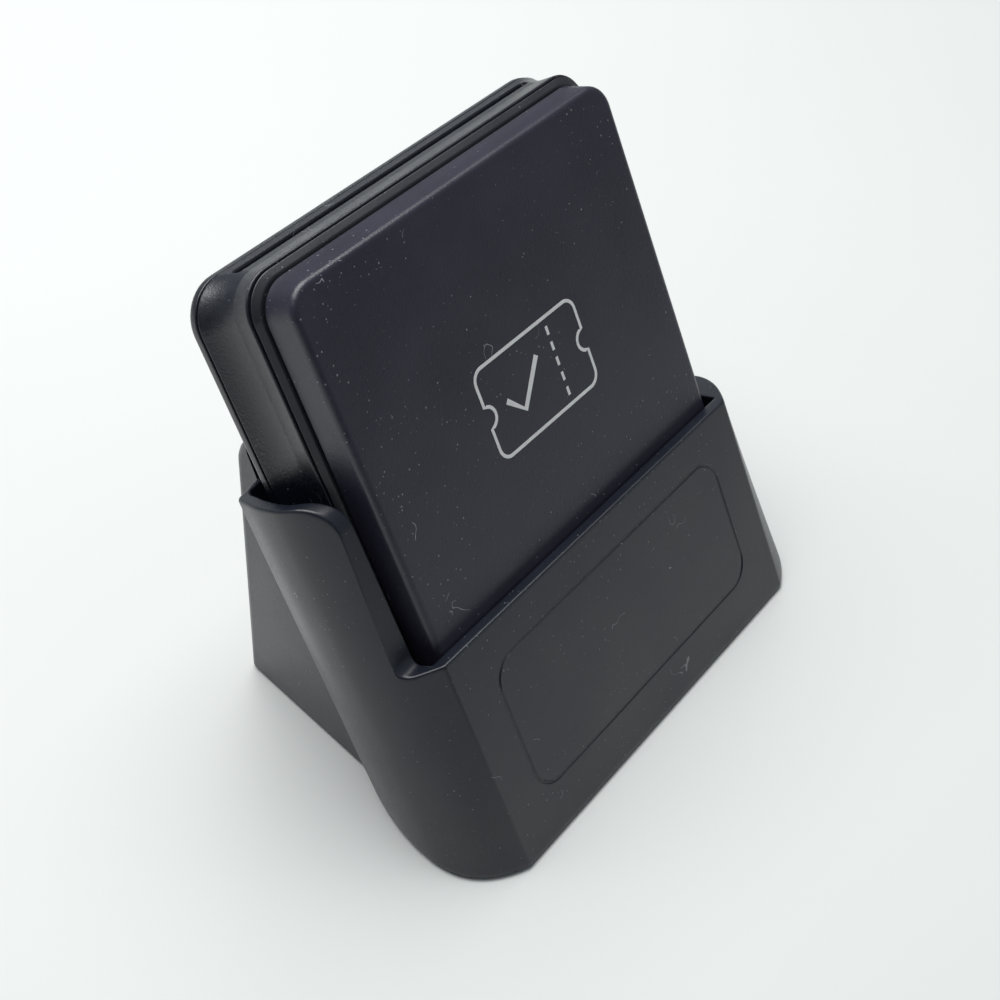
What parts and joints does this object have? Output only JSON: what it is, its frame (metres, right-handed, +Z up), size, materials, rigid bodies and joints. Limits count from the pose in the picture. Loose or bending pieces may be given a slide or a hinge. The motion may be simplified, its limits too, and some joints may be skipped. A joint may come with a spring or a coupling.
{
  "type": "ticket validator",
  "caption": "Square contactless and chip card reader that leans back in a table dock and lifts out along its slope.",
  "frame": {"origin": "middle of the bounding box's base, on the table", "axes": "+Z up, +X to the right of someone who faces the reader, -Y towards that person"},
  "size_m": [0.0782, 0.0554, 0.0708],
  "materials": {
    "cover_plastic": "fine satin grain",
    "housing_plastic": "fine satin grain",
    "trim_plastic": "satin",
    "dock_plastic": "fine satin grain",
    "inner_plastic": "matte",
    "circuit_board": "solder mask",
    "ferrite": "matte",
    "battery_foil": "satin film",
    "socket_steel": "bright",
    "screw_steel": "bright",
    "ballast_steel": "dull",
    "contact_gold": "bright plating",
    "foot_rubber": "matte"
  },
  "bodies": {
    "dock": {"dock_pocket": "dock_plastic", "dock_rear_shell": "dock_plastic", "base_plate": "dock_plastic", "pin_block": "inner_plastic", "pin_board": "circuit_board", "pin_barrel_1": "contact_gold", "pin_barrel_2": "contact_gold", "pin_barrel_3": "contact_gold", "pin_barrel_4": "contact_gold", "inlet_board": "circuit_board", "inner_lead": "inner_plastic", "ballast_left": "ballast_steel", "ballast_right": "ballast_steel", "dock_usb_inlet": "socket_steel", "rubber_foot_1": "foot_rubber", "rubber_foot_2": "foot_rubber", "rubber_foot_3": "foot_rubber", "rubber_foot_4": "foot_rubber", "base_screw_1": "screw_steel", "base_screw_2": "screw_steel", "base_screw_3": "screw_steel", "base_screw_4": "screw_steel"},
    "reader": {"reader_front_cover": "cover_plastic", "reader_trim_ring": "trim_plastic", "reader_middle_housing": "housing_plastic", "reader_back_cover": "housing_plastic", "antenna_board": "circuit_board", "ferrite_sheet": "ferrite", "battery": "battery_foil", "main_board": "circuit_board", "processor_shield": "socket_steel", "buzzer": "inner_plastic", "power_switch": "inner_plastic", "chip_contact_block": "inner_plastic", "card_guide": "inner_plastic", "reader_usb_socket": "socket_steel", "chip_contact_1": "contact_gold", "chip_contact_2": "contact_gold", "chip_contact_3": "contact_gold", "chip_contact_4": "contact_gold", "chip_contact_5": "contact_gold", "chip_contact_6": "contact_gold", "chip_contact_7": "contact_gold", "chip_contact_8": "contact_gold", "charging_pad_1": "contact_gold", "charging_pad_2": "contact_gold", "charging_pad_3": "contact_gold", "charging_pad_4": "contact_gold", "case_screw_1": "screw_steel", "case_screw_2": "screw_steel"},
    "button": {"power_button": "trim_plastic"},
    "plunger_1": {"pin_plunger_1": "contact_gold"},
    "plunger_2": {"pin_plunger_2": "contact_gold"},
    "plunger_3": {"pin_plunger_3": "contact_gold"},
    "plunger_4": {"pin_plunger_4": "contact_gold"}
  },
  "joints": [
    {"name": "reader_lift", "type": "slide", "parent": "dock", "child": "reader", "axis": [0, 0.4802, 0.8771], "range_m": [0, 0.045]},
    {"name": "power_press", "type": "slide", "parent": "reader", "child": "button", "axis": [-1, 0, 0], "range_m": [0, 0.0004], "stiffness_N_per_m": 2000},
    {"name": "plunger_press_1", "type": "slide", "parent": "dock", "child": "plunger_1", "axis": [0, -0.4802, -0.8771], "range_m": [0, 0.0008], "stiffness_N_per_m": 600},
    {"name": "plunger_press_2", "type": "slide", "parent": "dock", "child": "plunger_2", "axis": [0, -0.4802, -0.8771], "range_m": [0, 0.0008], "stiffness_N_per_m": 600},
    {"name": "plunger_press_3", "type": "slide", "parent": "dock", "child": "plunger_3", "axis": [0, -0.4802, -0.8771], "range_m": [0, 0.0008], "stiffness_N_per_m": 600},
    {"name": "plunger_press_4", "type": "slide", "parent": "dock", "child": "plunger_4", "axis": [0, -0.4802, -0.8771], "range_m": [0, 0.0008], "stiffness_N_per_m": 600}
  ]
}
